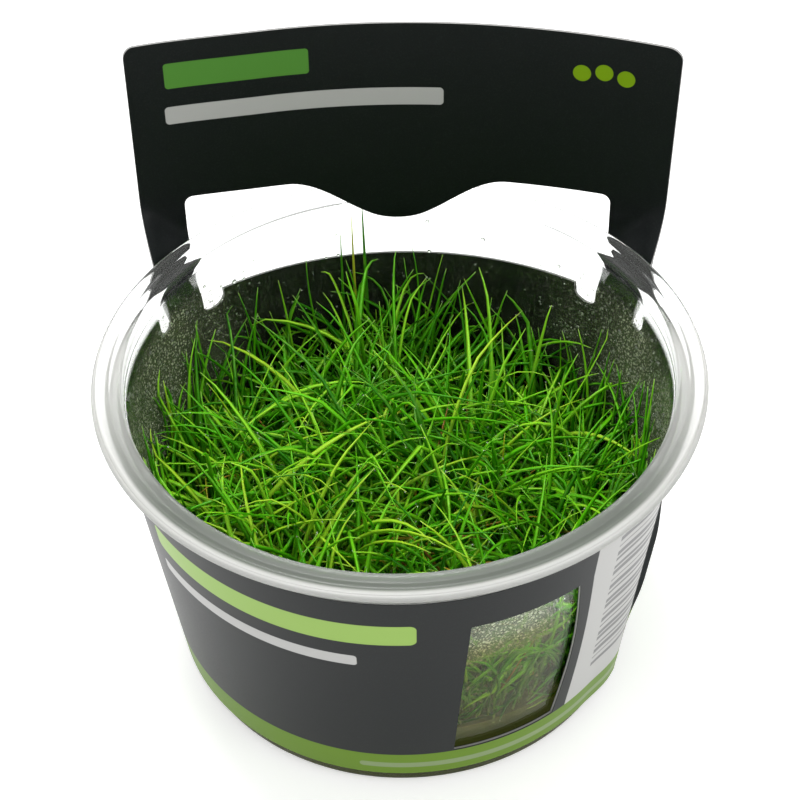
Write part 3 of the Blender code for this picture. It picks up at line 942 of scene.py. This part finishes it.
def withered_blades(settings):
    """A few yellow, orange and brown blades, thinner and more bent."""
    draw = np.random.default_rng(settings.seed + 3)
    places = sunflower(settings.withered, 31 * MM, draw, 3 * MM)
    places[::3] = draw.normal((5 * MM, -12 * MM), 5 * MM, places[::3].shape)
    return strewn_blades(
        draw, places, 18.5 * MM, settings.width, tilt=(0.2, 1.0), bend=(0.3, 1.3),
        length=(9, 20), sway=0.6, steps=8, thick=(0.45, 0.85), tone=(0.79, 0.99), clear=0.6,
        kinked=0.3)


# Moisture

def wall_fog(angle, z):
    """How fogged the inner wall is at an angle from +Y and a height, from 0 to 1.

    Thick at both sides and high up in front, thin in the middle of the back and in a strip
    either side of the front, fading below the ledge and towards the turf.
    """
    sideways = np.degrees(np.abs(np.arctan2(np.sin(angle), np.cos(angle))))
    height = z / MM
    round_cup = 0.08 + 0.92 * smooth(sideways, *FOG_SIDES)
    strip = hump(sideways, *FOG_STRIP)
    upper = 1 - 0.85 * smooth(height, *FOG_FADE)
    in_front = smooth(sideways, *FOG_FRONT)
    start = FOG_FOOT + 9 * in_front
    thick = smooth(height, start, start + 10 - 5 * in_front) * (1 + in_front)
    return round_cup * upper * (thick + 0.12 * in_front) * (1 - 0.85 * strip)


def make_wall_veil():
    """A closed film on the wall: up its outer side, then down its inner, a row to a height."""
    levels = np.linspace(VEIL_FOOT, LEDGE - 0.4 * MM, 40)
    rows, around = 2 * len(levels), 144
    angles = np.arange(around) * (math.tau / around)
    z, a = np.meshgrid(np.concatenate([levels, levels[::-1]]), angles, indexing="ij")
    reach = cup_inside(z) - np.repeat(VEIL_R, len(levels))[:, None]
    points = np.stack([reach * np.sin(a), reach * np.cos(a), z], -1).reshape(-1, 3)
    faces = ring_quads(rows, around) % (rows * around)
    return make_mesh("wall_fog", points, [faces], fog=wall_fog(a, z).ravel())


def make_wall_drops(settings, draw):
    """Flattened drops on the wall, more of them where it is fogged."""
    tries = settings.drops * 3
    angle = draw.uniform(0, math.tau, tries)
    z = draw.uniform(16.5 * MM, LEDGE - 0.8 * MM, tries)
    fog = wall_fog(angle, z)
    keep = draw.random(tries) < (0.15 + 0.85 * fog) * np.minimum(6 * fog, 1)
    angle, z = angle[keep][:settings.drops], z[keep][:settings.drops]
    size = draw.lognormal(math.log(0.12 * MM), 0.5, len(z)).clip(0.06 * MM, 0.45 * MM)
    outward = np.column_stack([np.sin(angle), np.cos(angle), np.zeros(len(z))])
    centres = outward * (cup_inside(z) - 0.10 * MM)[:, None]
    centres[:, 2] = z
    return make_mesh("wall_drops", *balls(centres, size, outward, 0.45))


def make_leaf_dew(settings, turf, draw):
    """Tiny drops at the tips of the tall blades, and some along them."""
    lines = tall_blades(turf)[0]
    blade = draw.integers(0, len(lines), settings.dew)
    spot = np.where(draw.random(settings.dew) < 0.6, lines.shape[1] - 1,
                    draw.integers(4, lines.shape[1], settings.dew))
    centres = lines[blade, spot] + draw.normal(0, 0.12 * MM, (settings.dew, 3))
    size = draw.lognormal(math.log(0.09 * MM), 0.25, settings.dew).clip(0.05 * MM, 0.16 * MM)
    upward = np.tile([[0.0, 0.0, 1.0]], (settings.dew, 1))
    return make_mesh("leaf_dew", *balls(held_in_cup(centres, 0.3 * MM), size, upward, 0.9))


# Settings

def setting(kind, **fixed):
    """A maker of properties of that kind, from a name, a description and a default."""
    return lambda name, about, default, **limits: kind(
        name=name, description=about, default=default, **fixed, **limits)


Whole = setting(IntProperty)
Real = setting(FloatProperty)
Share = setting(FloatProperty, min=0, max=1)
Length = setting(FloatProperty, unit="LENGTH")
Power = setting(FloatProperty, unit="POWER")
Colour = setting(FloatVectorProperty, subtype="COLOR", min=0, max=1)


class CupSettings(bpy.types.PropertyGroup):
    around: Whole("Facets", "Facets round the cup", 192, min=24)
    tint: Colour("Tint", "Colour of the clear plastic", (0.985, 0.995, 0.99))
    ior: Real("IOR", "Refraction of the plastic", 1.49)
    wet_ior: Real("Wet IOR", "Refraction of the wet wall", 1.18)
    roughness: Share("Roughness", "Polish of the plastic", 0.04)
    # The seal colour also paints a highlight on the bead; the flat one paints shade on the rim's
    # flat in front
    seal: Colour("Seal", "Colour of the ring left by the lid's seal", (0.84, 0.84, 0.81))
    seal_front_shade: Colour("Flat seal", "Its colour on the flat in front", (0.20, 0.22, 0.19))
    seal_cover: Share("Seal cover", "How matte that ring is", 0.9)
    film: Colour("Film", "Tint of the gel smeared low in front", (0.75, 0.70, 0.48))


class SleeveSettings(bpy.types.PropertyGroup):
    ink: Colour("Ink", "Dark ground of the print", (0.008, 0.010, 0.010))
    green: Colour("Green", "Band round the foot", (0.125, 0.24, 0.008))
    light_green: Colour("Light green", "Bar on the label", (0.30, 0.48, 0.10))
    tag: Colour("Tag", "Tag on the header", (0.09, 0.27, 0.04))
    sign: Colour("Sign", "Discs on the header", (0.20, 0.36, 0.006))
    # The white is set grey, as painted shade over all unprinted card
    white: Colour("White", "Unprinted card", (0.48, 0.48, 0.465))
    grey: Colour("Grey", "Bars of the striped block", (0.20, 0.20, 0.20))
    stripe_pitch: Real("Stripe pitch", "Millimetres from bar to bar", 1.5)
    gloss: Real("Roughness", "Polish of the print", 0.30)


class TurfSettings(bpy.types.PropertyGroup):
    seed: Whole("Seed", "Seed of the random draws", 11)
    crowns: Whole("Crowns", "Tufts on the gel", 300)
    blades: Whole("Blades", "Tall blades in a tuft", 5)
    fillers: Whole("Fillers", "Short blades", 1600)
    wall_blades: Whole("Wall blades", "Blades up the wall", 420)
    withered: Whole("Withered", "Yellow and brown blades", 130)
    length: Length("Length", "Length of a tall blade", 31.6 * MM)
    width: Length("Width", "Width of a blade", 0.74 * MM)
    deep: Colour("Deep green", "Darkest blades", (0.022, 0.19, 0.001))
    fresh: Colour("Fresh green", "Most blades", (0.105, 0.52, 0.002))
    light: Colour("Light green", "Youngest blades", (0.36, 0.80, 0.03))


class MoistureSettings(bpy.types.PropertyGroup):
    seed: Whole("Seed", "Seed of the random draws", 5)
    fog: Real("Fog", "Cover of the finest drops", 0.75)
    drops: Whole("Drops", "Drops on the wall", 4200)
    dew: Whole("Dew", "Drops on the blades", 900)


class StageSettings(bpy.types.PropertyGroup):
    sky: Real("Sky", "Strength of the even white light", 0.62)
    key: Power("Key", "Power of the soft box overhead", 2.3)
    fill: Power("Fill", "Power of the soft box at the side", 0.5)


# Operators

class HAIRGRASS_OT_cup(bpy.types.Operator):
    """Turn the clear cup from its section."""

    bl_idname = "hairgrass.cup"
    bl_label = "Cup"

    def execute(self, context):
        settings = context.scene.hairgrass_cup
        points, faces = lathe(cup_profile(), settings.around)
        x, forward, z = points[:, 0] / MM, -points[:, 1] / MM, points[:, 2] / MM
        reach = np.hypot(x, forward)
        seal = smooth(reach, *SEAL_RING) * smooth(z, *SEAL_LEVEL)
        seal = seal * (0.06 + 0.59 * smooth(forward, -14, -2) + 0.35 * smooth(forward, 0, 36))
        # The bead is pale, most of all along its top, as a painted highlight; the rim's flat in
        # front is left dark, as painted shade
        bead = smooth(reach, *BEAD_RING) * (0.30 + 0.70 * smooth(z, *BEAD_LEVEL))
        wet = hump(z, WET_FOOT, WET_TOP)
        film = smooth(forward, 0, 15) * (1 - smooth(z, *SMEAR_TOP))
        cup = make_mesh("clear_cup", points, faces, sharp=50, seal=seal, wet=wet, film=film,
                        pale=1 - (1 - bead) * smooth(forward, 0, 30),
                        rivulets=wet * smooth(forward, 5, 20))
        place(cup, "clear_plastic", clear_material(settings), "cup")
        return {"FINISHED"}


class HAIRGRASS_OT_gel(bpy.types.Operator):
    """Turn the gel from its section and ripple its top."""

    bl_idname = "hairgrass.gel"
    bl_label = "Gel"

    def execute(self, context):
        points, faces = lathe(gel_profile(), around=96)
        gel = make_mesh("nutrient_gel", ripple(points), faces, sharp=60)
        place(gel, "nutrient_gel", gel_material(), "gel")
        return {"FINISHED"}


class HAIRGRASS_OT_sleeve(bpy.types.Operator):
    """Wrap the printed, die-cut card round the cup, with its header."""

    bl_idname = "hairgrass.sleeve"
    bl_label = "Card sleeve"

    def execute(self, context):
        points, faces, s, h, side = make_sleeve_arrays()
        sleeve = make_mesh("printed_sleeve", points, faces, sharp=40,
                           card_s=s, card_h=h, card_face=side)
        material = card_material(context.scene.hairgrass_sleeve)
        place(sleeve, "printed_card", material, "card_sleeve")
        return {"FINISHED"}


class HAIRGRASS_OT_leaves(bpy.types.Operator):
    """Grow the turf: tall, short, wall and withered blades, each a joined mesh."""

    bl_idname = "hairgrass.leaves"
    bl_label = "Leaves"

    def execute(self, context):
        settings = context.scene.hairgrass_turf
        material = leaf_material(settings)
        kinds = (("leaves_tall", tall_blades, ("hairgrass",)), ("leaves_short", short_blades, ()),
                 ("leaves_at_wall", wall_blades, ()), ("leaves_withered", withered_blades, ()))
        for name, grow, nodes in kinds:
            lines, heading, width, tone, draw = grow(settings)
            roll = draw.uniform(0, math.tau, len(lines))
            points, faces, along, ridge = skin(lines, heading, roll, width)
            leaves = make_mesh(name, points, faces, along=along, ridge=ridge,
                               tone=np.repeat(tone, len(points) // len(lines)))
            place(leaves, "grass_leaf", material, *nodes)
        return {"FINISHED"}


class HAIRGRASS_OT_moisture(bpy.types.Operator):
    """Set fog and drops on the cup's inner wall, and dew on the blades."""

    bl_idname = "hairgrass.moisture"
    bl_label = "Moisture"

    def execute(self, context):
        settings = context.scene.hairgrass_moisture
        draw = np.random.default_rng(settings.seed)
        place(make_wall_veil(), "clear_plastic", fog_material(settings))
        place(make_wall_drops(settings, draw), "clear_plastic", water_material("wall_water", 0.9))
        place(make_leaf_dew(settings, context.scene.hairgrass_turf, draw), "grass_leaf",
              water_material("dew_water", 0.6))
        return {"FINISHED"}


class HAIRGRASS_OT_stage(bpy.types.Operator):
    """Lay the pale floor, hang the soft lights and set up the camera."""

    bl_idname = "hairgrass.stage"
    bl_label = "Stage"

    def execute(self, context):
        settings = context.scene.hairgrass_stage
        self.floor()
        self.sky(context, settings.sky)
        self.soft_box("key", *KEY_BOX, settings.key)
        self.soft_box("fill", *FILL_BOX, settings.fill)
        self.camera(context)
        context.scene.view_settings.view_transform = "Standard"
        return {"FINISHED"}

    def floor(self):
        """A pale floor that glows, most brightly near the cup, as painted light that lifts the
        cup's contact shadow, and hardly at all under the cup, as a painted shadow.
        """
        corners = np.array([(-1, -1, 0), (1, -1, 0), (1, 1, 0), (-1, 1, 0)]) * FLOOR_HALF
        floor = make_mesh("floor", corners - (0, 0, FLOOR_DROP), [np.array([[0, 1, 2, 3]])])
        material, shader, flow = new_material("pale_floor", Base_Color=(0.95, 0.95, 0.95, 1.0),
                                              Roughness=0.6, Emission_Strength=0.52)
        away = flow.object_space()
        away = away.node("ShaderNodeVectorMath", {"operation": "LENGTH"}, {0: away}, 1)
        # Painted light near the cup: full glow within 40 mm, falling to 0.65 by 110 mm
        glow = away.ramp(40 * MM, 110 * MM).blend((1.0, 1.0, 1.0), (0.65, 0.65, 0.65))
        # Painted shadow under the cup: the glow drops to 0.05 inside 29 mm
        glow = away.ramp(29 * MM, 34 * MM).blend((0.05, 0.05, 0.05), glow)
        glow.into(shader, "Emission Color")
        floor.data.materials.append(material)

    def sky(self, context, strength):
        """Even white light, a little darker from below."""
        world = bpy.data.worlds.new("even_white")
        world.use_nodes = True
        sky = finish(world.node_tree.nodes["Background"], Strength=strength)
        towards = Flow(world.node_tree).node("ShaderNodeTexCoord", output=0)
        upward = towards.node("ShaderNodeSeparateXYZ", None, {0: towards}, 2)
        upward.colours((0.0, (0.75, 0.75, 0.75)), (0.5, (1.0, 1.0, 1.0))).into(sky, "Color")
        context.scene.world = world

    def soft_box(self, name, where, size, power):
        """A square light that faces the origin."""
        lamp = bpy.data.lights.new(name, "AREA")
        lamp.size = size
        lamp.energy = power
        box = add_object(name, lamp)
        box.location = where
        box.rotation_euler = (-Vector(where)).to_track_quat("-Z", "Y").to_euler()

    def camera(self, context):
        """The camera is rolled, tipped down by the pitch and turned by the yaw from +Y to +X."""
        lens = bpy.data.cameras.new("camera")
        lens.lens = CAMERA_LENS
        lens.sensor_width = CAMERA_SENSOR
        lens.clip_start = 0.01
        eye = add_object("camera", lens)
        turn = Matrix.Translation(CAMERA_PLACE)
        for angle, axis in ((-CAMERA_YAW, "Z"), (math.pi / 2 - CAMERA_PITCH, "X"),
                            (CAMERA_ROLL, "Z")):
            turn = turn @ Matrix.Rotation(angle, 4, axis)
        eye.matrix_world = turn
        context.scene.camera = eye


class HAIRGRASS_PT_panel(bpy.types.Panel):
    """Buttons that make each piece."""

    bl_label = "Hairgrass"
    bl_idname = "HAIRGRASS_PT_panel"
    bl_space_type = "VIEW_3D"
    bl_region_type = "UI"
    bl_category = "Hairgrass"

    def draw(self, context):
        for operator in OPERATORS:
            self.layout.operator(operator.bl_idname)


OPERATORS = (HAIRGRASS_OT_stage, HAIRGRASS_OT_cup, HAIRGRASS_OT_gel, HAIRGRASS_OT_sleeve,
             HAIRGRASS_OT_leaves, HAIRGRASS_OT_moisture)
SETTINGS = {"hairgrass_cup": CupSettings, "hairgrass_sleeve": SleeveSettings,
            "hairgrass_turf": TurfSettings, "hairgrass_moisture": MoistureSettings,
            "hairgrass_stage": StageSettings}


def register():
    for kind in (*SETTINGS.values(), *OPERATORS, HAIRGRASS_PT_panel):
        bpy.utils.register_class(kind)
    for name, kind in SETTINGS.items():
        setattr(bpy.types.Scene, name, PointerProperty(type=kind))


def unregister():
    for name in SETTINGS:
        delattr(bpy.types.Scene, name)
    for kind in (HAIRGRASS_PT_panel, *reversed(OPERATORS), *SETTINGS.values()):
        bpy.utils.unregister_class(kind)


def main():
    register()
    for operator in OPERATORS:
        group, name = operator.bl_idname.split(".")
        getattr(getattr(bpy.ops, group), name)()


if __name__ == "__main__":
    main()
